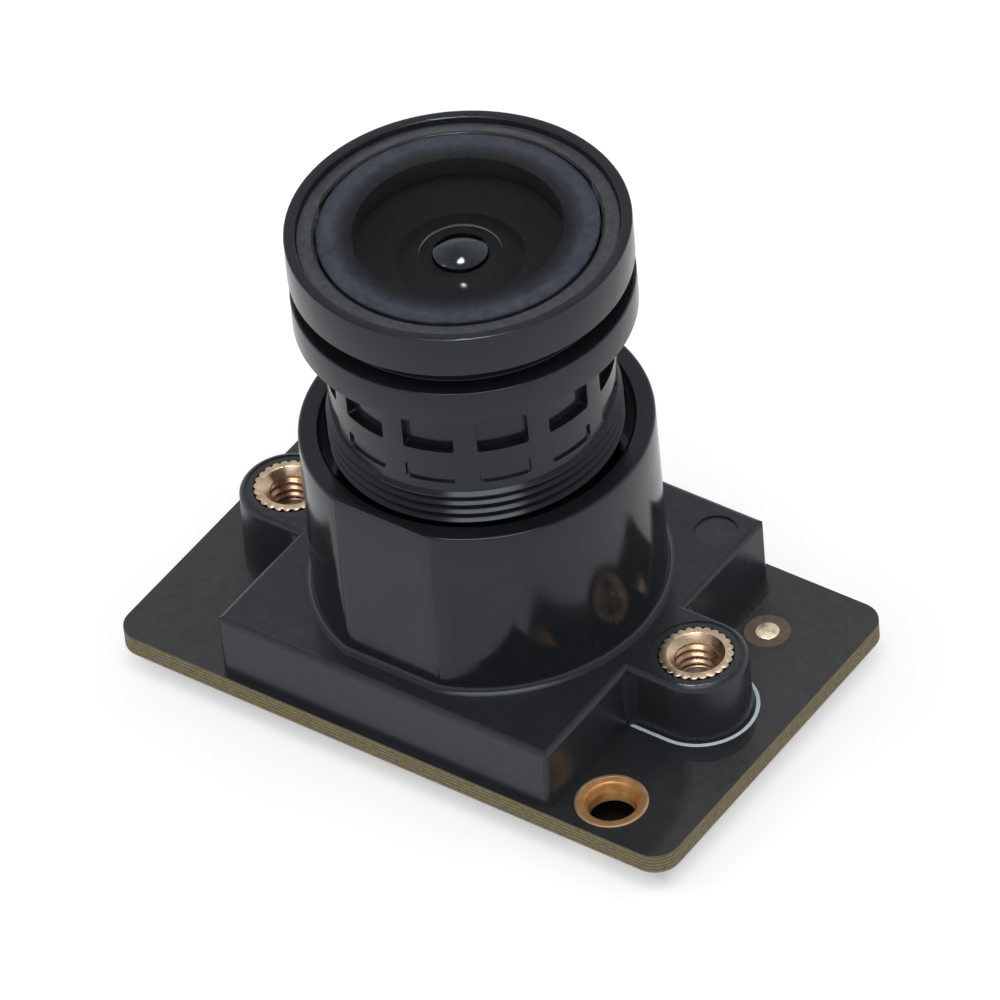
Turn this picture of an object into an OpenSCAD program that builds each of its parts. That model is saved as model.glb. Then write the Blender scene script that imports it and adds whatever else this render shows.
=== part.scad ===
// Board-level camera module: a circuit board, a moulded lens holder and a
// screw-in wide-angle lens that is turned in its thread to focus.
// Millimetres. The lens axis is x = y = 0, and z = 0 is the plane that the
// parts under the board stand on.

/* [Board] */
// Width of the board
board_w = 29.8; // [27:0.1:34]
// Depth of the board
board_d = 18.4; // [18:0.1:24]
// Thickness of the board
board_t = 1.0; // [0.8:0.1:1.6]
// Radius of the board's corners
board_corner = 1.2; // [0.3:0.1:2]
// Distance of the board's centre from the lens axis
board_shift = 0.2; // [0:0.1:0.5]
// Diameter of the mounting holes, inside their plating
hole_d = 2.4; // [2:0.1:2.6]
// Diameter of the plated ring round each mounting hole
hole_pad_d = 3.3; // [3:0.1:3.6]
// Distance of a mounting hole from the board's nearer end
hole_inset_x = 4.1; // [3.5:0.1:5]
// Distance of a mounting hole from the board's nearer long edge
hole_inset_y = 2.1; // [1.9:0.1:2.5]

/* [Holder] */
// Width of the holder's block
block_w = 17.8; // [17:0.1:18.4]
// Depth of the holder's block
block_d = 17.6; // [17:0.1:18]
// Height of the block and of its two bosses
block_h = 3.2; // [3:0.1:4]
// Centre distance of the two threaded inserts
insert_pitch = 22; // [22:0.1:23]
// Outer diameter of an insert
insert_d = 3.45; // [3.2:0.05:3.6]
// Diameter of a boss's round end
boss_d = 4.7; // [4.4:0.1:5]
// Diameter of the lens tube at its foot
tube_foot_d = 15.97; // [15.8:0.01:16.2]
// Diameter of the lens tube at its rim
tube_rim_d = 15.83; // [15.6:0.01:15.9]
// Distance across the tube's two flats at the rim
tube_flats = 15.0; // [14.8:0.1:15.3]
// Height of the tube's rim above the board
tube_h = 12.26; // [11.5:0.01:13]
// Inner diameter of the plain mouth above the tube's thread
mouth_d = 14.0; // [13.6:0.1:14.2]

/* [Lens] */
// Diameter of the lens's threaded shank
shank_d = 11.9; // [11.88:0.01:11.96]
// Diameter of the lens's head
head_d = 15.22; // [14.8:0.01:15.4]
// Height of the lens's head above the board
head_z = 23.66; // [23:0.01:24.5]
// Number of pockets in each row round the neck
pockets = 12; // [8:1:14]
// Width of a pocket as an angle about the axis
pocket_angle = 20.5; // [12:0.5:24]

/* [Hidden] */
$fn = 96;

// ---- shared values ----
eps = 0.5;              // how far a cutter runs past a face
under_h = 1.3;          // height of the tallest parts under the board
board_z = under_h;      // board's lower face
top_z = board_z + board_t;

// ---- board ----
plating_t = 0.035;      // copper thickness
fiducial_d = 1.0;
fiducial_at = [11.0, 5.5];
peg_d = 1.2;            // locating pegs under the holder
peg_hole_d = 1.3;
peg_at = [[-6.9, -7.1], [6.9, 7.1]];
hole_at = [[board_shift + board_w / 2 - hole_inset_x, -board_d / 2 + hole_inset_y],
           [board_shift - board_w / 2 + hole_inset_x, board_d / 2 - hole_inset_y]];
insert_at = [[insert_pitch / 2, 0], [-insert_pitch / 2, 0]];
screw_hole_d = 2.3;

// ---- holder ----
block_draft = 0.05;     // how much the block widens on each side down to the board
block_corner = 0.45;    // radius of the block's upright edges
edge_r = 0.3;           // radius of the block's and bosses' top edges
joint_r = 0.7;          // fillet where a boss runs into the block
insert_h = 3.0;
insert_ring_d = 4.1;    // shallow ring moulded round each insert
insert_ring_t = 0.06;
flat_draft = 0.1;       // how much further out each flat is at the tube's foot
cavity_w = 13.6;        // hollow over the sensor
cavity_h = 2.4;
window_w = 7.4;
filter_w = 9.2;
filter_t = 0.55;
filter_gap = 0.1;
web_top = 3.7;          // top of the web that carries the filter
mouth_floor = 10.0;
thread_bore_d = 12.0;
mark_d = 2.0;           // round ejector mark on the block
mark_at = [7.4, 7.1];

// ---- fixings ----
insert_bore_d = 1.6;
screw_shank_d = 1.58;
screw_head_d = 3.8;
screw_len = 2.6;
drive_d = 1.7;

// ---- sensor and what is under the board ----
sensor_size = [7.8, 7.2, 0.9];
sensor_glass_size = [6.7, 6.1, 0.4];
sensor_floor = 0.6;     // depth of the package's cup above the board
glass_gap = 0.1;        // slack of the cover glass in the cup
header_at = [0, -6.2];
header_size = [10.4, 3.4];
header_wall = 0.45;
header_tongue = [8.0, 1.3];
header_trough = 0.95;   // depth of the trough round the tongue
contact_size = [0.2, 0.5, 0.15];
contact_pitch = 0.5;
contact_rows = 15;
oscillator_at = [2.6, 6.4];
oscillator_size = [5.0, 3.2];
lid_inset = 0.2;        // how far the can's lid stands in from its foot
lid_t = 0.35;
memory_at = [-4.4, 6.3];
memory_size = [4.2, 3.2, 0.8];
pin_one_at = [-1.5, 1.0];
pin_one = [0.5, 0.05];  // width and depth of the dimple that marks the first contact
capacitor_size = [0.6, 1.0, 0.5];
capacitor_at = [[-6.2, 1.6], [-6.2, -0.4], [-3.6, 2.6], [6.4, 1.8], [6.4, -0.2], [4.2, 2.6],
                [-7.6, -3.4], [7.6, -3.4], [1.6, 2.6], [-1.4, 2.6]];

// ---- lens, heights above the board ----
lens_rear_z = 4.8;
neck_z = 13.4;          // underside of the neck, just above the thread
neck_d = 12.8;
neck_top = 17.9;         // where the neck starts to flare out to the flange
// how far the flare stands out from the neck on each side, at each height
flare = [[0.5, 18.15], [0.9, 18.45]];
flange_z = [18.9, 20.55];
flange_d = 15.2;
groove_d = 13.4;
ring_z = 21.6;          // underside of the head ring
lip_bore_d = 14.4;      // inside of the head's raised lip
ledge_z = 23.4;         // ledge inside the lip, round the glass
seat_z = 22.5;          // shoulder that the front element sits on
seat_bore_d = 13.7;
// each row of pockets is [bottom, top, radius of its floor]
pocket_rows = [[14.25, 15.05, 6.15], [16.05, 17.6, 6.0]];
pocket_depth = 1;       // enough for a pocket's cutter to leave the neck
pocket_turn = -42.4;    // direction of the middle of one pocket
front_bore_r = 5.3;
shoulder_z = 19.0;
rear_bore_r = 4.3;
slip = 0.02;            // radial clearance of the stack in the barrel
stack_r = rear_bore_r - slip;

// ---- glass and spacers, heights above the board ----
// a lens is [rim radius, bottom and top of its rim, bulge above, bulge or hollow below]
front_glass = [seat_bore_d / 2 - 0.24, seat_z, 23.85, 1.3, 1.5];
front_hollow_r = 5.05;
second_glass = [5.25, shoulder_z, 19.5, 2.0, 1.0];
second_hollow_r = 3.0;
third_glass = [stack_r, 13.1, 14.4, 0.7, 0.6];
rear_glass = [stack_r, 7.6, 9.8, 0.7, 0.4];
front_spacer_z = [19.75, 22.3];   // skirt and baffle between the first two elements
front_spacer_r = [5.0, 5.1];      // inside of the skirt and of the rim
baffle_r = 1.95;                  // opening of the baffle
baffle_z = [21.45, 21.6];         // edge of that opening
baffle_foot = [4.5, 20.9];        // where the baffle runs into the skirt
aperture_spacer_top = shoulder_z - 0.05;
aperture_spacer_r = [2.4, 3.6];   // funnel, at its bottom and its top
stop_z = [15.3, 15.5];
stop_hole_d = 2.6;
rear_spacer_z = [10.8, 12.4];
rear_spacer_r = 3.4;
rear_ring_z = [5.6, 6.9];
rear_ring_r = 3.0;
slot_w = 0.8;           // slot across the rear ring, for turning it
slot_depth = 0.5;

// ---- small helpers ----
// Plate w by d by h with round corners of radius r, standing on z = 0
module rounded_plate(w, d, h, r) {
    linear_extrude(h) rounded_square(w, d, r);
}

module rounded_square(w, d, r) {
    square([w - 2 * r, d], center = true);
    square([w, d - 2 * r], center = true);
    for (x = [-1, 1], y = [-1, 1])
        translate([x * (w / 2 - r), y * (d / 2 - r)]) circle(r);
}

// Side view of a drafted block: upright sides lean out by draft, top corners are round
module drafted_profile(w, h, r, draft) {
    polygon([[-w / 2 - draft, 0], [w / 2 + draft, 0], [w / 2, h - r], [w / 2 - r, h],
             [-w / 2 + r, h], [-w / 2, h - r]]);
    for (s = [-1, 1]) translate([s * (w / 2 - r), h - r]) circle(r);
}

// Box w by d by h with drafted sides and round top edges
module drafted_block(w, d, h, r, draft, corner) {
    reach = max(w, d) + 4;
    intersection() {
        rotate([90, 0, 0]) translate([0, 0, -reach / 2])
            linear_extrude(reach) drafted_profile(w, h, r, draft);
        rotate([90, 0, 90]) translate([0, 0, -reach / 2])
            linear_extrude(reach) drafted_profile(d, h, r, draft);
        rounded_plate(w + 2 * draft, d + 2 * draft, h + 1, corner);
    }
}

// Ring between radii ri and ro, from z0 to z1
module ring(ri, ro, z0, z1) {
    rotate_extrude() translate([ri, z0]) square([ro - ri, z1 - z0]);
}

// Height of a spherical cap at radius x, for a cap of height sag at radius edge
function cap_r(edge, sag) = (edge * edge + sag * sag) / (2 * sag);

// Solid spherical cap standing on z = 0
module cap(edge, sag) {
    rr = cap_r(edge, sag);
    intersection() {
        translate([0, 0, sag - rr]) sphere(rr);
        cylinder(h = sag + 1, r = edge);
    }
}

// Rim and domed top of a lens
module domed_disc(lens) {
    translate([0, 0, lens[1]]) cylinder(h = lens[2] - lens[1], r = lens[0]);
    translate([0, 0, lens[2]]) cap(lens[0], lens[3]);
}

// Lens with a domed top and a hollow of radius hollow_r in its flat underside
module meniscus(lens, hollow_r) {
    ball = cap_r(hollow_r, lens[4]);
    difference() {
        domed_disc(lens);
        translate([0, 0, lens[1] + lens[4] - ball]) sphere(ball);
    }
}

// Lens that bulges both ways
module biconvex(lens) {
    domed_disc(lens);
    translate([0, 0, lens[1]]) mirror([0, 0, 1]) cap(lens[0], lens[4]);
}

// ---- board and what is on it ----
module circuit_board() {
    color([0.05, 0.05, 0.05]) translate([0, 0, board_z]) difference() {
        translate([board_shift, 0, 0]) rounded_plate(board_w, board_d, board_t, board_corner);
        for (p = hole_at) {
            translate([p[0], p[1], -eps]) cylinder(h = board_t + 2 * eps, d = hole_d + 2 * plating_t);
            for (z = [-eps, board_t - plating_t])
                translate([p[0], p[1], z]) cylinder(h = plating_t + eps, d = hole_pad_d);
        }
        for (p = insert_at)
            translate([p[0], p[1], -eps]) cylinder(h = board_t + 2 * eps, d = screw_hole_d);
        for (p = peg_at)
            translate([p[0], p[1], -eps]) cylinder(h = board_t + 2 * eps, d = peg_hole_d);
        translate([fiducial_at[0], fiducial_at[1], board_t - plating_t])
            cylinder(h = eps, d = fiducial_d);
    }
}

module mounting_hole_plating() {
    color([0.55, 0.4, 0.25]) for (p = hole_at) translate([p[0], p[1], board_z]) {
        ring(hole_d / 2, hole_d / 2 + plating_t, 0, board_t);
        ring(hole_d / 2, hole_pad_d / 2, 0, plating_t);
        ring(hole_d / 2, hole_pad_d / 2, board_t - plating_t, board_t);
    }
}

module fiducial_pad() {
    color([0.8, 0.7, 0.5]) translate([fiducial_at[0], fiducial_at[1], top_z - plating_t])
        cylinder(h = plating_t, d = fiducial_d);
}

// Ceramic cup of the sensor
module image_sensor() {
    color([0.15, 0.15, 0.16]) translate([0, 0, top_z]) difference() {
        rounded_plate(sensor_size[0], sensor_size[1], sensor_size[2], 0.2);
        translate([0, 0, sensor_floor]) rounded_plate(sensor_glass_size[0] + glass_gap,
            sensor_glass_size[1] + glass_gap, sensor_size[2], 0.1);
    }
}

module sensor_glass() {
    color([0.6, 0.7, 0.75, 0.5]) translate([0, 0, top_z + sensor_floor])
        rounded_plate(sensor_glass_size[0], sensor_glass_size[1], sensor_glass_size[2], 0.1);
}

// ---- lens holder ----
// Boss for one insert, running out of the block along +X
module boss() {
    run = insert_pitch / 2 - block_w / 2 + 2;
    rotate_extrude() intersection() {
        drafted_profile(boss_d, block_h, edge_r, block_draft);
        square([boss_d, block_h]);
    }
    rotate([90, 0, -90]) linear_extrude(run)
        drafted_profile(boss_d, block_h, edge_r, block_draft);
    // fillets in the two corners against the block
    side_x = block_w / 2 - insert_pitch / 2;
    for (s = [-1, 1]) difference() {
        translate([side_x - 0.3, s * boss_d / 2 + (s > 0 ? -0.2 : -joint_r), 0])
            cube([joint_r + 0.3, joint_r + 0.2, block_h - edge_r]);
        translate([side_x + joint_r, s * (boss_d / 2 + joint_r), -eps])
            cylinder(h = block_h + 2 * eps, r = joint_r);
    }
}

// Outside of the tube: a drafted round with a drafted flat at the front and the back
module tube_body() {
    lean = atan(flat_draft / (tube_h - block_h));
    difference() {
        union() {
            translate([0, 0, block_h - 0.2])
                cylinder(h = tube_h - block_h + 0.2 - 0.12, d1 = tube_foot_d, d2 = tube_rim_d);
            // small round at the foot and a broken edge at the rim
            translate([0, 0, block_h - 0.05])
                cylinder(h = 0.2, d1 = tube_foot_d + 0.3, d2 = tube_foot_d - 0.05);
            translate([0, 0, tube_h - 0.12])
                cylinder(h = 0.12, d1 = tube_rim_d, d2 = tube_rim_d - 0.2);
        }
        for (a = [0, 180]) rotate([0, 0, a]) translate([0, -tube_flats / 2, tube_h])
            rotate([-lean, 0, 0]) translate([-20, -10, -tube_h + block_h])
                cube([40, 10, tube_h]);
    }
}

module lens_holder() {
    color([0.06, 0.06, 0.065]) translate([0, 0, top_z]) difference() {
        union() {
            drafted_block(block_w, block_d, block_h, edge_r, block_draft, block_corner);
            for (a = [0, 180]) rotate([0, 0, a]) translate([insert_pitch / 2, 0, 0]) boss();
            tube_body();
            for (p = peg_at) translate([p[0], p[1], -board_t + 0.1])
                cylinder(h = board_t, d = peg_d);
        }
        // hollow over the sensor, seat of the filter and window through the web
        translate([0, 0, -eps]) rounded_plate(cavity_w, cavity_w, cavity_h + eps, 1);
        rounded_plate(filter_w + filter_gap, filter_w + filter_gap, cavity_h + filter_t, 0.4);
        rounded_plate(window_w, window_w, web_top + eps, 0.6);
        // bore of the lens thread, its lead-in and the plain mouth
        translate([0, 0, web_top]) cylinder(h = tube_h, d = thread_bore_d);
        translate([0, 0, mouth_floor - 0.4])
            cylinder(h = 0.4, d1 = thread_bore_d, d2 = thread_bore_d + 0.8);
        translate([0, 0, mouth_floor]) cylinder(h = tube_h, d = mouth_d);
        translate([0, 0, tube_h - 0.1]) cylinder(h = 0.2, d1 = mouth_d, d2 = mouth_d + 0.4);
        for (p = insert_at) translate([p[0], p[1], 0]) {
            translate([0, 0, block_h - insert_h]) cylinder(h = insert_h + eps, d = insert_d);
            translate([0, 0, -eps]) cylinder(h = block_h, d = screw_hole_d);
            translate([0, 0, block_h - insert_ring_t]) cylinder(h = eps, d = insert_ring_d);
        }
        translate([mark_at[0], mark_at[1], block_h - 0.1]) cylinder(h = eps, d = mark_d);
    }
}

module ir_filter() {
    color([0.5, 0.75, 0.7, 0.5]) translate([0, 0, top_z + cavity_h])
        rounded_plate(filter_w, filter_w, filter_t, 0.3);
}

// ---- fixings ----
module threaded_inserts() {
    color([0.78, 0.6, 0.3]) for (p = insert_at)
        translate([p[0], p[1], top_z + block_h - insert_h]) rotate_extrude()
            polygon([[insert_bore_d / 2, 0], [insert_d / 2 - 0.2, 0], [insert_d / 2, 0.2],
                     [insert_d / 2, 1.2], [insert_d / 2 - 0.25, 1.35], [insert_d / 2 - 0.25, 1.65],
                     [insert_d / 2, 1.8], [insert_d / 2, insert_h - 0.1],
                     [insert_d / 2 - 0.1, insert_h], [insert_bore_d / 2 + 0.3, insert_h],
                     [insert_bore_d / 2, insert_h - 0.3]]);
}

// Pan-head screw, head at the bottom, with a cross recess
module holder_screw() {
    difference() {
        union() {
            rotate_extrude() polygon([[0, 0], [screw_head_d / 2 - 0.55, 0],
                [screw_head_d / 2 - 0.15, 0.3], [screw_head_d / 2, 0.75],
                [screw_head_d / 2, under_h], [0, under_h]]);
            translate([0, 0, under_h]) cylinder(h = screw_len, d = screw_shank_d);
        }
        for (a = [45, 135]) rotate([0, 0, a])
            translate([-drive_d / 2, -0.17, -eps]) cube([drive_d, 0.34, eps + 0.7]);
    }
}

module holder_screws() {
    color([0.5, 0.5, 0.52]) for (p = insert_at) translate([p[0], p[1], 0]) holder_screw();
}

// ---- parts under the board ----
module board_header() {
    color([0.1, 0.1, 0.1]) translate([header_at[0], header_at[1], 0]) difference() {
        rounded_plate(header_size[0], header_size[1], under_h, 0.25);
        // trough for the mating half, with the tongue left standing in it
        translate([0, 0, -eps]) difference() {
            rounded_plate(header_size[0] - 2 * header_wall, header_size[1] - 2 * header_wall,
                          eps + header_trough, 0.2);
            rounded_plate(header_tongue[0], header_tongue[1], under_h + eps, 0.1);
        }
    }
}

module header_contacts() {
    first_x = header_at[0] - (contact_rows - 1) / 2 * contact_pitch - contact_size[0] / 2;
    color([0.85, 0.7, 0.35]) for (side = [-1, 1], i = [0 : contact_rows - 1])
        translate([first_x + i * contact_pitch,
                   header_at[1] + side * (header_size[1] + contact_size[1]) / 2 - contact_size[1] / 2,
                   under_h - contact_size[2]])
            cube(contact_size);
}

module oscillator() {
    color([0.7, 0.7, 0.68]) translate([oscillator_at[0], oscillator_at[1], 0]) {
        translate([0, 0, lid_t])
            rounded_plate(oscillator_size[0], oscillator_size[1], under_h - lid_t, 0.2);
        rounded_plate(oscillator_size[0] - 2 * lid_inset, oscillator_size[1] - 2 * lid_inset,
                      lid_t + 0.05, 0.4);
    }
}

module memory_chip() {
    color([0.08, 0.08, 0.09]) translate([memory_at[0], memory_at[1], under_h - memory_size[2]])
        difference() {
            rounded_plate(memory_size[0], memory_size[1], memory_size[2], 0.08);
            translate([pin_one_at[0], pin_one_at[1], -eps])
                cylinder(h = eps + pin_one[1], d = pin_one[0]);
        }
}

module chip_capacitors() {
    color([0.72, 0.62, 0.5]) for (p = capacitor_at)
        translate([p[0], p[1], under_h - capacitor_size[2]])
            rounded_plate(capacitor_size[0], capacitor_size[1], capacitor_size[2], 0.06);
}

// ---- lens ----
// Half section of the barrel: outside from the rear up, then down the stepped bore
module barrel_section() {
    shank = shank_d / 2;
    neck = neck_d / 2;
    flange = flange_d / 2;
    head = head_d / 2;
    polygon([
        [rear_bore_r, lens_rear_z], [shank - 0.35, lens_rear_z], [shank, lens_rear_z + 0.35],
        [shank, neck_z], [neck - 0.25, neck_z], [neck, neck_z + 0.25],
        [neck, neck_top], for (step = flare) [neck + step[0], step[1]],
        [flange, flange_z[0]], [flange, flange_z[1] - 0.3],
        [flange - 0.15, flange_z[1]], [groove_d / 2, flange_z[1]], [groove_d / 2, ring_z],
        [head - 0.1, ring_z], [head, ring_z + 0.1], [head, head_z - 0.2], [head - 0.2, head_z],
        [lip_bore_d / 2, head_z], [lip_bore_d / 2 - 0.12, ledge_z],
        [seat_bore_d / 2, ledge_z], [seat_bore_d / 2, seat_z],
        [front_bore_r, seat_z], [front_bore_r, shoulder_z], [rear_bore_r, shoulder_z]]);
}

// One pocket of a row
module pocket(row) {
    rotate([0, 0, -pocket_angle / 2]) rotate_extrude(angle = pocket_angle)
        translate([row[2], row[0]]) square([pocket_depth, row[1] - row[0]]);
}

module lens_barrel() {
    color([0.09, 0.09, 0.1]) translate([0, 0, top_z]) difference() {
        rotate_extrude() barrel_section();
        for (row = pocket_rows, i = [0 : pockets - 1])
            rotate([0, 0, pocket_turn + i * 360 / pockets]) pocket(row);
    }
}

module rear_retaining_ring() {
    color([0.1, 0.1, 0.1]) translate([0, 0, top_z]) difference() {
        ring(rear_ring_r, rear_bore_r, rear_ring_z[0], rear_ring_z[1]);
        translate([-shank_d / 2, -slot_w / 2, rear_ring_z[0] - eps])
            cube([shank_d, slot_w, eps + slot_depth]);
    }
}

// ---- glass and spacers ----
module front_element() {
    color([0.55, 0.6, 0.8, 0.5]) translate([0, 0, top_z]) meniscus(front_glass, front_hollow_r);
}

module front_spacer() {
    bore = front_bore_r - slip;
    color([0.05, 0.05, 0.05]) translate([0, 0, top_z]) rotate_extrude()
        polygon([[baffle_r, baffle_z[0]], baffle_foot, [front_spacer_r[0], baffle_foot[1] - 0.4],
                 [front_spacer_r[0], front_spacer_z[0]], [bore, front_spacer_z[0]],
                 [bore, front_spacer_z[1]], [front_spacer_r[1], front_spacer_z[1]],
                 [baffle_r, baffle_z[1]]]);
}

module second_element() {
    color([0.6, 0.65, 0.75, 0.5]) translate([0, 0, top_z]) meniscus(second_glass, second_hollow_r);
}

module aperture_spacer() {
    color([0.05, 0.05, 0.05]) translate([0, 0, top_z]) rotate_extrude()
        polygon([[aperture_spacer_r[0], stop_z[1]], [stack_r, stop_z[1]],
                 [stack_r, aperture_spacer_top], [aperture_spacer_r[1], aperture_spacer_top]]);
}

module aperture_stop() {
    color([0.03, 0.03, 0.03]) translate([0, 0, top_z])
        ring(stop_hole_d / 2, stack_r, stop_z[0], stop_z[1]);
}

module third_element() {
    color([0.6, 0.65, 0.75, 0.5]) translate([0, 0, top_z]) biconvex(third_glass);
}

module rear_spacer() {
    color([0.05, 0.05, 0.05]) translate([0, 0, top_z])
        ring(rear_spacer_r, stack_r, rear_spacer_z[0], rear_spacer_z[1]);
}

module rear_element() {
    color([0.6, 0.65, 0.75, 0.5]) translate([0, 0, top_z]) biconvex(rear_glass);
}

circuit_board();
mounting_hole_plating();
fiducial_pad();
lens_holder();
threaded_inserts();
holder_screws();
image_sensor();
sensor_glass();
ir_filter();
board_header();
header_contacts();
oscillator();
memory_chip();
chip_capacitors();
lens_barrel();
rear_retaining_ring();
front_element();
front_spacer();
second_element();
aperture_spacer();
aperture_stop();
third_element();
rear_spacer();
rear_element();
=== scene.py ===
import math

import bmesh
import bpy
from mathutils import Matrix, Vector


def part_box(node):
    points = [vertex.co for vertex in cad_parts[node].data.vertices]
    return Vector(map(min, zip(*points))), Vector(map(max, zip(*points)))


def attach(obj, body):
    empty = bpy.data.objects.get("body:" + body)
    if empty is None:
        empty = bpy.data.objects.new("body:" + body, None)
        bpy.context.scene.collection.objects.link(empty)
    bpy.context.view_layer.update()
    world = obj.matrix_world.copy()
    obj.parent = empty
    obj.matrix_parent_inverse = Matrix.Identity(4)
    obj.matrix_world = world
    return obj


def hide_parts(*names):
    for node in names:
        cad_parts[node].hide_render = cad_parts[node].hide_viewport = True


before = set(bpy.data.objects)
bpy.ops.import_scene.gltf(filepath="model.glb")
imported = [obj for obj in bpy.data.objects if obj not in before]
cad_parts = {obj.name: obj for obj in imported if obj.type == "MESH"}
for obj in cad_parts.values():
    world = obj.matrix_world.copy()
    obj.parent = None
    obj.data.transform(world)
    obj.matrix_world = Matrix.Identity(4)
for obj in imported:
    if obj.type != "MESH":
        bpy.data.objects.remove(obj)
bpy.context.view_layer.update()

MM = 0.001
TAU = 2 * math.pi
scene = bpy.context.scene
scene.view_settings.view_transform = "Standard"

# ---- camera, in degrees and millimetres ----
AZIMUTH, ELEVATION, ROLL = 37.8912, 42.44603, -5.45802
TARGET = Vector((0.87298, 0.00821, 10.04301))
DISTANCE = 452.83
FOCAL = 367.076


def make_camera():
    a, e, r = (math.radians(v) for v in (AZIMUTH, ELEVATION, ROLL))
    back = Vector((math.sin(a) * math.cos(e), -math.cos(a) * math.cos(e), math.sin(e)))
    level = Vector((math.cos(a), math.sin(a), 0))
    right = level * math.cos(r) + back.cross(level) * math.sin(r)
    up = back.cross(right)
    data = bpy.data.cameras.new("camera")
    data.sensor_width = 36
    data.lens = FOCAL
    data.clip_start, data.clip_end = 0.01, 10
    camera = bpy.data.objects.new("camera", data)
    scene.collection.objects.link(camera)
    turn = Matrix((right, up, back)).transposed().to_4x4()
    camera.matrix_world = Matrix.Translation((TARGET + back * DISTANCE) * MM) @ turn
    scene.camera = camera


make_camera()


# ---- places read from the frame, in millimetres ----
def box_mm(node):
    low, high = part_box(node)
    return low / MM, high / MM


TOP = box_mm("circuit_board")[1].z            # upper face of the board
BOARD_Z = box_mm("circuit_board")[0].z
INSERT_LOW, INSERT_HIGH = box_mm("threaded_inserts")
BLOCK_TOP = INSERT_HIGH.z                      # upper face of the holder's block and bosses
TUBE_TOP = box_mm("lens_holder")[1].z
TUBE_H = TUBE_TOP - BLOCK_TOP
INSERT_R = 1.725
INSERT_X = INSERT_HIGH.x - INSERT_R
HOLE_LOW, HOLE_HIGH = box_mm("mounting_hole_plating")
PAD_R = 1.65
HOLES = [(HOLE_HIGH.x - PAD_R, HOLE_LOW.y + PAD_R), (HOLE_LOW.x + PAD_R, HOLE_HIGH.y - PAD_R)]
FID_LOW, FID_HIGH = box_mm("fiducial_pad")
FIDUCIAL = ((FID_LOW.x + FID_HIGH.x) / 2, (FID_LOW.y + FID_HIGH.y) / 2)


# ---- mesh helpers, all in millimetres ----
def mesh_object(name, points, faces, sharp=32, weld=False):
    mesh = bpy.data.meshes.new(name)
    mesh.from_pydata([Vector(p) * MM for p in points], [], faces)
    work = bmesh.new()
    work.from_mesh(mesh)
    if weld:
        bmesh.ops.remove_doubles(work, verts=work.verts, dist=1e-7)
    bmesh.ops.recalc_face_normals(work, faces=work.faces)
    work.to_mesh(mesh)
    work.free()
    mesh.polygons.foreach_set("use_smooth", [True] * len(mesh.polygons))
    mesh.set_sharp_from_angle(angle=math.radians(sharp))
    made = bpy.data.objects.new(name, mesh)
    scene.collection.objects.link(made)
    return made


def join(name, parts, **kinds):
    """One mesh object from several (points, faces) lists."""
    points, faces = [], []
    for part_points, part_faces in parts:
        start = len(points)
        points += part_points
        faces += [tuple(start + i for i in face) for face in part_faces]
    return mesh_object(name, points, faces, **kinds)


def soften(corners, closed=True, steps=4):
    """Profile through corners (r, z) or (r, z, radius), with an arc where a radius is given."""
    out = []
    count = len(corners)
    for i, corner in enumerate(corners):
        here = Vector(corner[:2])
        radius = corner[2] if len(corner) > 2 else 0
        if not radius or (not closed and i in (0, count - 1)):
            out.append(tuple(here))
            continue
        before = Vector(corners[i - 1][:2]) - here
        after = Vector(corners[(i + 1) % count][:2]) - here
        half = before.angle(after) / 2
        reach = min(radius / math.tan(half), before.length * 0.49, after.length * 0.49)
        start, end = here + before.normalized() * reach, here + after.normalized() * reach
        for k in range(steps + 1):
            t = k / steps
            out.append(tuple(start * (1 - t) ** 2 + here * 2 * t * (1 - t) + end * t * t))
    return out


def lathe(profile, angles=128, at=(0, 0), closed=True, shape=None):
    """Points and faces of a profile (r, z) turned about the upright line through at."""
    if isinstance(angles, int):
        angles = [i * TAU / angles for i in range(angles)]
    points, faces = [], []
    rows, columns = len(profile), len(angles)
    for a in angles:
        for r, z in profile:
            if shape:
                r = shape(a, r, z)
            points.append((at[0] + r * math.cos(a), at[1] + r * math.sin(a), z))
    for c in range(columns):
        d = (c + 1) % columns
        for k in range(rows if closed else rows - 1):
            n = (k + 1) % rows
            faces.append((c * rows + k, d * rows + k, d * rows + n, c * rows + n))
    return points, faces


def dome(edge, sag, z, rings=24, down=False):
    """Profile of a spherical cap from its middle out to edge, standing on z."""
    ball = (edge * edge + sag * sag) / (2 * sag)
    out = []
    for i in range(rings + 1):
        r = edge * i / rings
        rise = math.sqrt(ball * ball - r * r) - (ball - sag)
        out.append((r, z - rise if down else z + rise))
    return out


def helix(section, pitch, z0, z1, steps=72, at=(0, 0), ease=0.5):
    """Ridge of a thread: section holds (r, dz) points, and the ends sink to the first r."""
    turns = (z1 - z0) / pitch
    count = int(turns * steps)
    points, faces = [], []
    for i in range(count + 1):
        a = TAU * i / steps
        z = z0 + pitch * i / steps
        fade = min(1, i / (ease * steps), (count - i) / (ease * steps))
        for r, dz in section:
            r = section[0][0] + (r - section[0][0]) * fade
            points.append((at[0] + r * math.cos(a), at[1] + r * math.sin(a), z + dz))
    w = len(section)
    for i in range(count):
        for k in range(w - 1):
            faces.append((i * w + k, (i + 1) * w + k, (i + 1) * w + k + 1, i * w + k + 1))
    return points, faces


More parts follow.
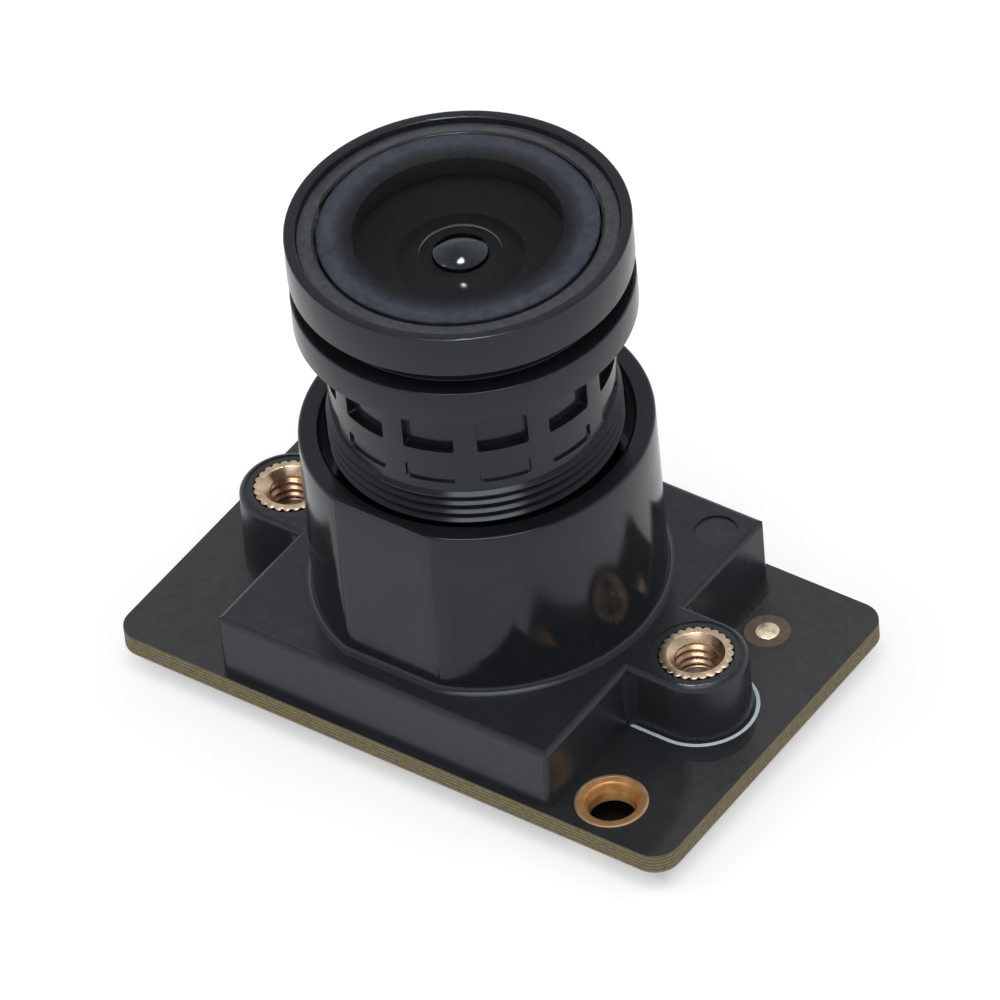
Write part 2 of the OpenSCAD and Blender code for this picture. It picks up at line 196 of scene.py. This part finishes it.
def ribbon(path, width, z0, z1):
    """Low raised line along an open path in the plane."""
    points, faces = [], []
    for i, here in enumerate(path):
        before, after = path[max(i - 1, 0)], path[min(i + 1, len(path) - 1)]
        run = Vector((after[0] - before[0], after[1] - before[1])).normalized()
        side = Vector((-run.y, run.x)) * width / 2
        for s, z in ((1, z0), (0.86, z1), (-0.86, z1), (-1, z0)):
            points.append((here[0] + side.x * s, here[1] + side.y * s, z))
    for i in range(len(path) - 1):
        for k in range(3):
            faces.append((4 * i + k, 4 * i + k + 1, 4 * i + k + 5, 4 * i + k + 4))
    faces += [(0, 1, 2, 3), tuple(4 * len(path) - 4 + k for k in range(4))]
    return points, faces


# ---- material helpers ----
def add(tree, kind, inputs=None, **settings):
    """New node; an input that is a socket is linked, any other is set."""
    made = tree.nodes.new(kind)
    for key, value in settings.items():
        setattr(made, key, value)
    for key, value in (inputs or {}).items():
        if isinstance(value, bpy.types.NodeSocket):
            tree.links.new(value, made.inputs[key])
        else:
            made.inputs[key].default_value = value
    return made


def noise(tree, size, detail=2.0, stretch=(1, 1, 1)):
    """Noise whose features are about size millimetres across."""
    place = add(tree, "ShaderNodeTexCoord").outputs["Object"]
    if stretch != (1, 1, 1):
        place = add(tree, "ShaderNodeMapping", {"Vector": place, "Scale": stretch}).outputs[0]
    return add(tree, "ShaderNodeTexNoise",
               {"Vector": place, "Scale": 1 / (size * MM), "Detail": detail}).outputs[0]


def spread(tree, value, low, high, start=0.3, end=0.7):
    return add(tree, "ShaderNodeMapRange", {
        "Value": value, "From Min": start, "From Max": end, "To Min": low, "To Max": high}).outputs[0]


def blend(tree, factor, a, b):
    return add(tree, "ShaderNodeMix", {0: factor, 6: a, 7: b}, data_type="RGBA").outputs[2]


def math_node(tree, operation, *values):
    return add(tree, "ShaderNodeMath", dict(enumerate(values)), operation=operation).outputs[0]


def rgba(colour):
    return (*colour, 1)


def grey_ramp(tree, value, stops):
    """Grey that follows (position, brightness) stops, the first at 0 and the last at 1."""
    made = add(tree, "ShaderNodeValToRGB", {0: value})
    for position, _ in stops[1:-1]:
        made.color_ramp.elements.new(position)
    for stop, (position, grey) in zip(made.color_ramp.elements, stops):
        stop.position, stop.color = position, rgba((grey, grey, grey))
    return made.outputs[0]


def bump(tree, value, height, after=None):
    inputs = {"Height": value, "Strength": 1.0, "Distance": height * MM}
    if after:
        inputs["Normal"] = after
    return add(tree, "ShaderNodeBump", inputs).outputs[0]


class Look:
    """A principled material with two tones, a roughness range and a grain."""

    def __init__(self, name, tones, rough, blotch=1.5, grain=0.2, height=0.0, detail=2.0,
                 stretch=(1, 1, 1), **sockets):
        self.material = bpy.data.materials.new(name)
        self.material.use_nodes = True
        self.tree = self.material.node_tree
        self.shader = self.tree.nodes["Principled BSDF"]
        for key, value in sockets.items():
            self.shader.inputs[key.replace("_", " ")].default_value = value
        tree = self.tree
        self.tone = blend(tree, spread(tree, noise(tree, blotch, 3), 0, 1),
                          rgba(tones[0]), rgba(tones[1]))
        self.rough = spread(tree, noise(tree, grain * 3, 3, stretch), rough[0], rough[1])
        self.normal = None
        if height:
            self.normal = bump(tree, noise(tree, grain, detail, stretch), height)
        self.wire()

    def wire(self):
        self.tree.links.new(self.tone, self.shader.inputs["Base Color"])
        self.tree.links.new(self.rough, self.shader.inputs["Roughness"])
        if self.normal:
            self.tree.links.new(self.normal, self.shader.inputs["Normal"])
        return self


def wear(obj, look):
    """Gives every slot of a piece or a CAD node one material."""
    if not obj.data.materials:
        obj.data.materials.append(look.material)
    for held in obj.material_slots:
        held.material = look.material


def dress(node, look):
    wear(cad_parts[node], look)


def place(obj, look, body, slot, *replaced):
    wear(obj, look)
    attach(obj, body)
    if replaced:
        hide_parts(*replaced)
    return obj


# ---- materials ----
lens_plastic = Look("lens_plastic", [(0.0085, 0.0095, 0.011), (0.012, 0.013, 0.0145)],
                    (0.13, 0.2), blotch=3, grain=0.25, height=0.0006, IOR=1.5,
                    Specular_Tint=(0.80, 0.88, 1, 1))
holder_plastic = Look("holder_plastic", [(0.0085, 0.0095, 0.011), (0.013, 0.0135, 0.015)],
                      (0.1, 0.16), blotch=2.5, grain=0.3, height=0.0006, IOR=1.5,
                      Specular_Tint=(0.80, 0.88, 1, 1))
stack_black = Look("stack_black", [(0.004, 0.0045, 0.005), (0.006, 0.0065, 0.007)],
                   (0.5, 0.65), grain=0.1, height=0.002, Specular_IOR_Level=0.2)
mask = Look("mask", [(0.013, 0.0135, 0.016), (0.020, 0.0205, 0.024)],
            (0.32, 0.42), blotch=4, grain=0.12, height=0.0012, IOR=1.5)
brass = Look("brass", [(0.62, 0.46, 0.31), (0.76, 0.60, 0.43)],
             (0.2, 0.36), blotch=0.5, grain=0.12, height=0.002, Metallic=1.0)
thread_brass = Look("thread_brass", [(0.56, 0.35, 0.23), (0.74, 0.50, 0.34)],
                    (0.22, 0.34), blotch=0.4, grain=0.1, height=0.002, Metallic=1.0)
plating = Look("plating", [(0.58, 0.29, 0.10), (0.80, 0.45, 0.18)],
               (0.3, 0.45), blotch=0.6, grain=0.15, height=0.002, Metallic=0.7)
lip_metal = Look("lip_metal", [(0.62, 0.38, 0.19), (0.80, 0.56, 0.34)],
                 (0.3, 0.45), blotch=0.7, grain=0.15, height=0.002, Metallic=0.8)
pad_gold = Look("pad_gold", [(0.78, 0.66, 0.44), (0.88, 0.78, 0.58)],
                (0.25, 0.4), blotch=0.3, grain=0.1, height=0.002, Metallic=1.0)
bare_board = Look("bare_board", [(0.075, 0.05, 0.03), (0.12, 0.085, 0.05)],
                  (0.4, 0.6), blotch=0.4, grain=0.15, height=0.004)
silk = Look("silk", [(0.52, 0.60, 0.62), (0.62, 0.68, 0.69)],
            (0.55, 0.75), blotch=0.5, grain=0.1, height=0.003)
steel = Look("steel", [(0.42, 0.42, 0.44), (0.56, 0.56, 0.58)],
             (0.22, 0.38), blotch=0.5, grain=0.15, height=0.002, Metallic=1.0)
can_metal = Look("can_metal", [(0.60, 0.59, 0.56), (0.70, 0.69, 0.66)],
                 (0.2, 0.34), blotch=1, grain=0.15, height=0.001, stretch=(0.15, 1, 1), Metallic=1.0)
gold = Look("gold", [(0.80, 0.60, 0.26), (0.90, 0.70, 0.34)],
            (0.2, 0.32), blotch=0.3, grain=0.1, height=0.001, Metallic=1.0)
header_plastic = Look("header_plastic", [(0.018, 0.018, 0.018), (0.026, 0.026, 0.026)],
                      (0.45, 0.6), blotch=1, grain=0.12, height=0.002)
epoxy = Look("epoxy", [(0.02, 0.02, 0.022), (0.03, 0.03, 0.032)],
             (0.5, 0.65), blotch=0.8, grain=0.08, height=0.003)
ceramic = Look("ceramic", [(0.36, 0.25, 0.15), (0.46, 0.33, 0.21)],
               (0.4, 0.55), blotch=0.4, grain=0.08, height=0.002)
package = Look("package", [(0.045, 0.045, 0.05), (0.06, 0.06, 0.066)],
               (0.5, 0.65), blotch=0.8, grain=0.1, height=0.002)
front_glass = Look("front_glass", [(1.0, 1.0, 1.0), (0.97, 0.98, 1.0)], (0.0, 0.02), blotch=3,
                   IOR=1.02, Transmission_Weight=1.0, Coat_Weight=0.05, Coat_IOR=1.5)
inner_glass = Look("inner_glass", [(0.86, 0.92, 0.96), (0.9, 0.95, 1.0)], (0.0, 0.03), blotch=3,
                   IOR=1.05, Transmission_Weight=1.0, Coat_Weight=0.02, Coat_IOR=1.5)
filter_glass = Look("filter_glass", [(0.45, 0.75, 0.70), (0.5, 0.8, 0.74)], (0.0, 0.03), blotch=3,
                    IOR=1.52, Transmission_Weight=1.0)
frosted = Look("frosted", [(0.034, 0.039, 0.054), (0.062, 0.067, 0.090)],
               (0.5, 0.7), blotch=0.35, grain=0.1, height=0.006, Specular_IOR_Level=0.2)
ledge_grey = Look("ledge_grey", [(0.007, 0.0085, 0.011), (0.032, 0.034, 0.043)],
                  (0.35, 0.6), blotch=0.3, grain=0.15, height=0.01)
pupil_look = Look("pupil_look", [(0.17, 0.18, 0.175), (0.26, 0.28, 0.27)],
                  (0.3, 0.45), blotch=0.7, grain=0.1, height=0.002)
pupil_glass = Look("pupil_glass", [(0.07, 0.08, 0.085), (0.11, 0.12, 0.125)],
                   (0.05, 0.12), blotch=0.8, Metallic=1.0)


def own_place(tree):
    """Sockets for x, y and z in the object's own frame."""
    return add(tree, "ShaderNodeSeparateXYZ",
               {0: add(tree, "ShaderNodeTexCoord").outputs["Object"]}).outputs


LAYER = 0.19                                   # one layer of glass fibre
FADE_LOW, FADE_HIGH = 4.6, 6.4                 # radii between which the frosted edge shows


def layer_board():
    """The board's mask lies on its two faces, and its cut edge shows the layers of glass fibre."""
    tree = mask.tree
    up = add(tree, "ShaderNodeSeparateXYZ",
             {0: add(tree, "ShaderNodeNewGeometry").outputs["Normal"]}).outputs[2]
    face = math_node(tree, "GREATER_THAN", math_node(tree, "ABSOLUTE", up), 0.5)
    z = own_place(tree)[2]
    wave = math_node(tree, "SINE", math_node(tree, "MULTIPLY", z, TAU / (LAYER * MM)))
    fibre = blend(tree, spread(tree, wave, 0, 1, -0.4, 1.0), rgba((0.13, 0.105, 0.05)),
                  rgba((0.30, 0.25, 0.13)))
    speckle = spread(tree, noise(tree, 0.25, 3, (1, 1, 3)), 0, 0.7, 0.45, 0.65)
    fibre = blend(tree, speckle, fibre, rgba((0.09, 0.075, 0.04)))
    mask.tone = blend(tree, face, fibre, mask.tone)
    mask.rough = spread(tree, face, 0.65, mask.rough, 0, 1)
    mask.wire()


def gloss_by_height():
    """The holder's block is satin and a little paler, and its tube is polished."""
    tree = holder_plastic.tree
    z = own_place(tree)[2]
    level = (BLOCK_TOP - 0.05) * MM
    tube = spread(tree, z, 0, 1, level, level + 0.2 * MM)
    satin = spread(tree, noise(tree, 0.5, 3), 0.26, 0.36)
    block = blend(tree, 0.5, holder_plastic.tone, rgba((0.030, 0.032, 0.036)))
    holder_plastic.tone = blend(tree, tube, block, holder_plastic.tone)
    holder_plastic.rough = spread(tree, tube, satin, holder_plastic.rough, 0, 1)
    grain = bump(tree, noise(tree, 0.14, 3), 0.0022)
    holder_plastic.normal = add(tree, "ShaderNodeMix", {0: tube, 4: grain, 5: holder_plastic.normal},
                                data_type="VECTOR").outputs[1]
    holder_plastic.wire()


def fade_by_radius():
    """The frosted edge of the glass darkens softly towards the clear middle and the rim."""
    tree = frosted.tree
    x, y, _ = own_place(tree)
    away = math_node(tree, "SQRT", math_node(tree, "ADD", math_node(tree, "POWER", x, 2.0),
                                             math_node(tree, "POWER", y, 2.0)))
    away = math_node(tree, "ADD", away, spread(tree, noise(tree, 0.6, 3), -0.07 * MM, 0.07 * MM))
    shown = grey_ramp(tree, spread(tree, away, 0, 1, FADE_LOW * MM, FADE_HIGH * MM), [
        (0.0, 0.0), (0.22, 0.18), (0.42, 0.6), (0.55, 1.0), (0.8, 0.95), (0.92, 0.35), (1.0, 0.0)])
    frosted.tone = blend(tree, shown, rgba((0.004, 0.0045, 0.005)), frosted.tone)
    frosted.wire()


layer_board()
gloss_by_height()
fade_by_radius()

# ---- CAD nodes that keep their shape ----
for node, look in {
        "circuit_board": mask, "lens_holder": holder_plastic, "holder_screws": steel,
        "image_sensor": package, "sensor_glass": inner_glass, "ir_filter": filter_glass,
        "board_header": header_plastic, "header_contacts": gold, "oscillator": can_metal,
        "memory_chip": epoxy, "chip_capacitors": ceramic, "rear_retaining_ring": stack_black,
        "front_spacer": stack_black, "aperture_spacer": stack_black,
        "aperture_stop": stack_black, "third_element": inner_glass,
        "rear_spacer": stack_black, "rear_element": inner_glass}.items():
    dress(node, look)

# ---- lens barrel with two rows of pockets round its neck ----
POCKETS = 12
POCKET_TURN = math.radians(-42.4)
POCKET_HALF = math.radians(10.25)
POCKET_ROWS = [(14.25, 15.05, 6.28), (16.05, 17.6, 6.02)]       # bottom, top, floor
POCKET_BAND = (13.9, 17.8)
NECK_R, NECK_Z, NECK_TOP = 6.4, 13.68, 18.3
SHANK_R, SHANK_LOW = 5.66, 4.8
COLLAR_R, COLLAR_LOW = 6.3, 11.1               # root of the coarse collar that shows above the holder
FLANGE_R, FLANGE_LOW = 7.6, 18.9
GROOVE_R, GROOVE_LOW, GROOVE_HIGH = 6.7, 20.53, 21.6
HEAD_R, HEAD_TOP = 7.61, 23.66
LEDGE_R, LEDGE_Z = 6.3, 23.36                  # the seat inside the head's lip
GLASS_R, GLASS_Z, SECOND_Z, BORE_R = 5.3, 22.5, 19.0, 4.3


def pocket_cut(angle, r, z):
    """Radius of the neck at a point, pressed in where a pocket is."""
    z -= TOP
    if r < NECK_R - 0.05 or not POCKET_BAND[0] < z < POCKET_BAND[1]:
        return r
    step = TAU / POCKETS
    off = (angle - POCKET_TURN + step / 2) % step - step / 2
    corner, soft = 0.14, 0.02
    for low, high, floor in POCKET_ROWS:
        u = abs(off) * NECK_R - (POCKET_HALF * NECK_R - corner)
        v = abs(z - (low + high) / 2) - ((high - low) / 2 - corner)
        gap = math.hypot(max(u, 0), max(v, 0)) + min(max(u, v), 0) - corner
        t = min(1, max(0, (soft - gap) / (2 * soft)))
        r += (floor - r) * t * t * (3 - 2 * t)
    return r


def neck_levels():
    levels = [NECK_Z + 0.14 * i for i in range(1, 31)]
    for low, high, _ in POCKET_ROWS:
        for edge in (low, high):
            levels += [edge + 0.02 * k for k in (-3, -1, 0, 1, 3, 7)]
    return sorted(set(round(z, 3) for z in levels if z < NECK_TOP - 0.1))


def barrel_profile():
    outside = [(BORE_R, SHANK_LOW), (GLASS_R, SHANK_LOW), (SHANK_R, SHANK_LOW + 0.35),
               (SHANK_R, COLLAR_LOW), (COLLAR_R - 0.15, COLLAR_LOW, 0.04),
               (COLLAR_R, COLLAR_LOW + 0.15), (COLLAR_R, 13.55), (NECK_R, NECK_Z)]
    outside += [(NECK_R, z) for z in neck_levels()]
    head = [(NECK_R, NECK_TOP, 0.1), (7.0, 18.6, 0.1), (FLANGE_R, FLANGE_LOW, 0.02),
            (FLANGE_R, GROOVE_LOW, 0.1), (GROOVE_R, GROOVE_LOW, 0.06), (GROOVE_R, GROOVE_HIGH, 0.06),
            (HEAD_R, GROOVE_HIGH, 0.06), (HEAD_R, HEAD_TOP, 0.07), (7.13, HEAD_TOP, 0.06),
            (7.08, LEDGE_Z, 0.03), (LEDGE_R, LEDGE_Z, 0.04), (LEDGE_R, GLASS_Z), (GLASS_R, GLASS_Z),
            (GLASS_R, SECOND_Z), (BORE_R, SECOND_Z)]
    return [(r, TOP + z) for r, z in soften(outside + head)]


def barrel_angles():
    offsets = [-15, -12.5, -10.8, -10.4, -10.25, -10.1, -9.7, -9.2, -8.5, -6, -3, 0, 3, 6, 8.5, 9.2,
               9.7, 10.1, 10.25, 10.4, 10.8, 12.5]
    return [POCKET_TURN + math.radians(30 * i + o) for i in range(POCKETS) for o in offsets]


barrel = join("lens_barrel_body", [lathe(barrel_profile(), barrel_angles(), shape=pocket_cut)])
place(barrel, lens_plastic, "lens_body", "lens_black", "lens_barrel")

PITCH = 0.5


def vee(root, crest, half=0.235, flat=0.03):
    return [(root, -half), (crest, -flat), (crest, flat), (root, half)]


# the collar's ridges run on at the same pitch below it, where they are finer and hold the lens
threads = [helix(vee(5.6, 5.95), PITCH, TOP + 5.3, TOP + 10.9, steps=96),
           helix(vee(COLLAR_R - 0.01, 6.58), PITCH, TOP + 11.662, TOP + 13.9, steps=160, ease=0.4)]
place(join("lens_thread", threads), lens_plastic, "lens_body", "lens_black")

# ---- smooth skin of the holder's tube: a round with two soft-edged flats, a foot and a rim ----
SKIN = 0.015
TUBE_R, TUBE_DRAFT = 7.915, 0.07
FLAT_AT, FLAT_DRAFT = 7.5, 0.1
FLAT_SOFT = 0.035
MOUTH_R, MOUTH_FLOOR = 6.98, 10.02


def tube_wall(angle, r, z):
    """The tube's outside, where r is written for the round and moves in on the flats."""
    if r < 7.2:
        return r
    down = (TUBE_TOP - z) / TUBE_H
    base = TUBE_R + TUBE_DRAFT * down + SKIN
    flat = (FLAT_AT + FLAT_DRAFT * down + SKIN) / max(1e-3, abs(math.sin(angle)))
    near = min(base, flat)
    wall = near - FLAT_SOFT * math.log(math.exp((near - base) / FLAT_SOFT)
                                       + math.exp((near - flat) / FLAT_SOFT))
    return wall + r - base


foot = [(0.34, -0.01), (0.25, 0.012), (0.16, 0.05), (0.09, 0.11), (0.035, 0.19), (0.0, 0.32)]
tube = [(8.0 + out, BLOCK_TOP + up) for out, up in foot]
tube += [(8.0 - TUBE_DRAFT * k / 6, BLOCK_TOP + 0.32 + (TUBE_H - 0.5) * k / 6) for k in range(1, 7)]
tube += [(7.92, TUBE_TOP - 0.1), (7.89, TUBE_TOP - 0.03), (7.82, TUBE_TOP + 0.01)]
tube += soften([(7.75, TUBE_TOP + 0.012), (MOUTH_R + 0.1, TUBE_TOP + 0.012, 0.1),
                (MOUTH_R, TUBE_TOP - 0.1, 0.04), (MOUTH_R, TOP + MOUTH_FLOOR),
                (6.2, TOP + MOUTH_FLOOR, 0.05), (6.0, TOP + 9.7)], closed=False)
skin = join("holder_tube_skin", [lathe(tube, 480, closed=False, shape=tube_wall)], sharp=50)
place(skin, holder_plastic, "board", "holder_plastic")

# ---- glass and what shows through it ----
FRONT_R = 6.2
FROST_LOW, FROST_HIGH = TOP + 23.32, TOP + 23.42


def element(name, rim, low, high, bulge, hollow_r, hollow):
    profile = dome(rim, bulge, high) + [(rim, low)] + list(reversed(dome(hollow_r, hollow, low)))
    return join(name, [lathe(profile, 160, closed=False)], weld=True, sharp=40)


front = element("front_lens", FRONT_R, TOP + 23.44, TOP + 24.01, 1.14, 4.95, 0.638)
place(front, front_glass, "lens_stack", "lens_glass", "front_element")
second = element("second_lens", 5.25, TOP + SECOND_Z, TOP + 19.5, 2.0, 3.0, 1.0)
place(second, inner_glass, "lens_stack", "lens_glass", "second_element")


def flat_ring(name, look, inner, outer, low, high, slot, round_=0.05, replaced=()):
    profile = soften([(inner, low), (outer, low), (outer, high, round_), (inner, high, round_)])
    return place(join(name, [lathe(profile, 160)]), look, "lens_stack", slot, *replaced)


# the front element's ground underside and blackened edge
flat_ring("frosted_annulus", frosted, FADE_LOW, FRONT_R, FROST_LOW, FROST_HIGH, "lens_glass",
          replaced=["front_element"])
flat_ring("front_seat", stack_black, FADE_LOW + 0.02, FRONT_R, TOP + GLASS_Z, FROST_LOW, "ring_black",
          replaced=["front_element"])
flat_ring("seat_ledge", ledge_grey, 6.4, 7.07, TOP + 23.2, TOP + 23.4, "ring_black")

PUPIL_Z, PUPIL_R = TOP + 21.95, 1.83
flat_ring("pupil_rim", pupil_look, PUPIL_R, 1.95, PUPIL_Z - 0.2, PUPIL_Z + 0.08, "ring_black", 0.01)
SURROUND_BALL, SURROUND_R = 9.0, 4.62          # a dark dome round the pupil, out to the seat
surround = [PUPIL_R + (SURROUND_R - PUPIL_R) * i / 16 for i in range(17)]
surround = [(r, PUPIL_Z + 0.3 - SURROUND_BALL + math.sqrt(SURROUND_BALL ** 2 - r * r)) for r in surround]
surround += [(r, z - 0.03) for r, z in reversed(surround)]
place(join("pupil_surround", [lathe(surround, 160)]), stack_black, "lens_stack", "ring_black")
flat_ring("pupil_cell", stack_black, 1.25, 1.92, TOP + 21.3, PUPIL_Z - 0.04, "ring_black")
DOME_R = 1.2
bead = dome(DOME_R, 0.24, PUPIL_Z + 0.12) + [(DOME_R, PUPIL_Z - 0.3), (0, PUPIL_Z - 0.3)]
pupil_dome = join("pupil_dome", [lathe(bead, 96, closed=False)], weld=True)
place(pupil_dome, pupil_glass, "lens_stack", "lens_glass")


# ---- threaded inserts with knurled rims ----
KNURL_DEPTH, KNURL_TEETH = 0.13, 24


def knurl(at):
    def shape(angle, r, z):
        if r < 1.45:
            return r
        return r - KNURL_DEPTH + KNURL_DEPTH * abs(math.cos(KNURL_TEETH / 2 * angle)) ** 0.7
    low, high = INSERT_LOW.z, INSERT_HIGH.z
    profile = soften([(1.0, low), (1.5, low), (1.70, low + 0.2, 0.05), (1.70, low + 1.2),
                      (1.45, low + 1.35), (1.45, low + 1.65), (1.70, low + 1.8), (1.70, high, 0.06),
                      (1.3, high, 0.05), (0.97, high - 0.3, 0.03), (1.0, high - 0.34)])
    return lathe(profile, KNURL_TEETH * 10, at=at, shape=shape)


for side, x in (("right", INSERT_X), ("left", -INSERT_X)):
    insert = join("insert_" + side, [knurl((x, 0))], sharp=40)
    place(insert, brass, "board", "insert_brass", "threaded_inserts")
    inner = [(1.02, -0.17), (0.84, -0.04), (0.84, 0.04), (1.02, 0.17)]
    winding = join("insert_thread_" + side, [helix(inner, 0.4, INSERT_LOW.z + 0.25, INSERT_HIGH.z - 0.42,
                                                   at=(x, 0))])
    place(winding, thread_brass, "board", "insert_brass")


# ---- plated holes, silk lines and the alignment pad ----
HOLE_R, PAD_RIM = 1.06, 1.66                 # the eyelet narrows below its flared mouth
hole_parts, lip_parts = [], []
for at in HOLES:
    hole_parts.append(lathe(soften([
        (HOLE_R, BOARD_Z + 0.02, 0.03), (1.6, BOARD_Z - 0.005), (1.6, BOARD_Z + 0.03),
        (1.22, BOARD_Z + 0.05), (1.22, TOP - 0.02), (1.55, TOP - 0.02), (1.55, TOP + 0.055),
        (1.5, TOP + 0.055, 0.03), (1.2, TOP + 0.005, 0.12), (HOLE_R, TOP - 0.45, 0.15)]), 96, at=at))
    lip_parts.append(lathe(soften([
        (1.5, TOP - 0.02), (PAD_RIM, TOP - 0.02), (PAD_RIM, TOP + 0.065, 0.03),
        (1.5, TOP + 0.065, 0.03)]), 96, at=at))
place(join("hole_barrels", hole_parts), plating, "board", "plated_copper", "mounting_hole_plating")
place(join("hole_lips", lip_parts), lip_metal, "board", "plated_copper", "mounting_hole_plating")

SILK_R, SILK_X = 2.6, 9.05                   # the line starts at the block and runs round the boss
arc = [math.radians(90 - 5 * i) for i in range(37)]
path = [(SILK_X, SILK_R), (10, SILK_R)]
path += [(INSERT_X + SILK_R * math.cos(a), SILK_R * math.sin(a)) for a in arc]
path += [(10, -SILK_R), (SILK_X, -SILK_R)]
place(join("silk_outline", [ribbon(path, 0.18, TOP - 0.005, TOP + 0.018)]), silk, "board", "board_mask")

DISC_R, CLEAR_R = 0.55, 1.05
ring = [(0.5, TOP - 0.01), (CLEAR_R, TOP - 0.01), (CLEAR_R, TOP + 0.004), (0.5, TOP + 0.004)]
place(join("fiducial_clearance", [lathe(ring, 64, at=FIDUCIAL)]), bare_board, "board", "board_mask")
disc = soften([(0, TOP - 0.02), (DISC_R, TOP - 0.02), (DISC_R, TOP + 0.03, 0.04), (0, TOP + 0.03)],
              closed=False)
pad = join("fiducial_disc", [lathe(disc, 64, at=FIDUCIAL, closed=False)], weld=True)
place(pad, pad_gold, "board", "pad_gold", "fiducial_pad")


# ---- light and floor ----
LAMP_AWAY = 0.9                                # metres
FLOOR_HALF = 4000
SHADE_IN, SHADE_OUT = -2.8, -0.8               # painted shadow: the floor darkens between these, inside the board's edge


def area(name, direction, size, power, glossy=False):
    """Soft square lamp in a direction given as azimuth and elevation; azimuth 0 stands on -Y."""
    a, e = (math.radians(v) for v in direction)
    away = Vector((math.sin(a) * math.cos(e), -math.cos(a) * math.cos(e), math.sin(e)))
    data = bpy.data.lights.new(name, "AREA")
    data.size = size
    data.energy = power
    lamp = bpy.data.objects.new(name, data)
    scene.collection.objects.link(lamp)
    lamp.location = away * LAMP_AWAY
    lamp.rotation_mode = "QUATERNION"
    lamp.rotation_quaternion = away.to_track_quat("Z", "Y")
    lamp.visible_glossy = glossy
    return lamp


def make_world():
    world = bpy.data.worlds.new("studio")
    scene.world = world
    world.use_nodes = True
    tree = world.node_tree
    tree.nodes.clear()
    z = add(tree, "ShaderNodeSeparateXYZ",
            {0: add(tree, "ShaderNodeTexCoord").outputs["Generated"]}).outputs[2]
    # bright at the horizon, dim overhead
    sky = grey_ramp(tree, z, [(0.0, 1.0), (0.25, 0.9), (0.5, 0.6), (0.7, 0.42), (1.0, 0.3)])
    studio = add(tree, "ShaderNodeBackground", {"Color": sky, "Strength": 1.0})
    white = add(tree, "ShaderNodeBackground", {"Color": (1, 1, 1, 1), "Strength": 1.0})
    seen = add(tree, "ShaderNodeLightPath").outputs["Is Camera Ray"]
    mix = add(tree, "ShaderNodeMixShader", {0: seen, 1: studio.outputs[0], 2: white.outputs[0]})
    add(tree, "ShaderNodeOutputWorld", {"Surface": mix.outputs[0]})


def make_floor():
    corners = [(FLOOR_HALF * i, FLOOR_HALF * j, 0) for i, j in ((-1, -1), (1, -1), (1, 1), (-1, 1))]
    floor = mesh_object("floor", corners, [(0, 1, 2, 3)])
    look = Look("floor_white", [(0.60, 0.60, 0.60), (0.61, 0.61, 0.61)], (0.8, 0.9), blotch=400)
    tree = look.tree
    path = add(tree, "ShaderNodeLightPath")
    mirrored = math_node(tree, "MULTIPLY", path.outputs["Is Glossy Ray"], 0.5)
    seen = math_node(tree, "MAXIMUM", mirrored,
                     math_node(tree, "MAXIMUM", path.outputs["Is Camera Ray"],
                               path.outputs["Is Transmission Ray"]))
    look.shader.inputs["Specular IOR Level"].default_value = 0
    x, y, _ = own_place(tree)
    low, high = box_mm("circuit_board")
    out_x = math_node(tree, "SUBTRACT", math_node(
        tree, "ABSOLUTE", math_node(tree, "SUBTRACT", x, (low.x + high.x) / 2 * MM)), high.x * MM)
    out_y = math_node(tree, "SUBTRACT", math_node(tree, "ABSOLUTE", y), high.y * MM)
    away = math_node(tree, "MAXIMUM", out_x, out_y)
    # painted shadow under the board: inside its edge the floor's glow fades out and its colour turns
    # near black
    glow_outside_shadow = spread(tree, away, 0.0, 0.5, SHADE_IN * MM, SHADE_OUT * MM)
    look.tone = blend(tree, spread(tree, away, 0, 1, SHADE_IN * MM, SHADE_OUT * MM),
                      rgba((0.02, 0.02, 0.02)), look.tone)
    look.wire()
    glow = add(tree, "ShaderNodeEmission",
               {"Color": (1, 1, 1, 1), "Strength": math_node(tree, "MULTIPLY", seen, glow_outside_shadow)})
    both = add(tree, "ShaderNodeAddShader", {0: look.shader.outputs[0], 1: glow.outputs[0]})
    tree.links.new(both.outputs[0], tree.nodes["Material Output"].inputs["Surface"])
    wear(floor, look)


make_world()
make_floor()
area("key", (36, 74), 0.5, 2.6, glossy=True)
area("left", (-60, 50), 0.5, 1.2)
area("right", (120, 50), 0.5, 0.9)
for elevation, power in ((75, 0.7), (66.6, 1.3)):      # two small bright dots in the lens
    area("spot", (217.9, elevation), 0.02, power, glossy=True).visible_diffuse = False
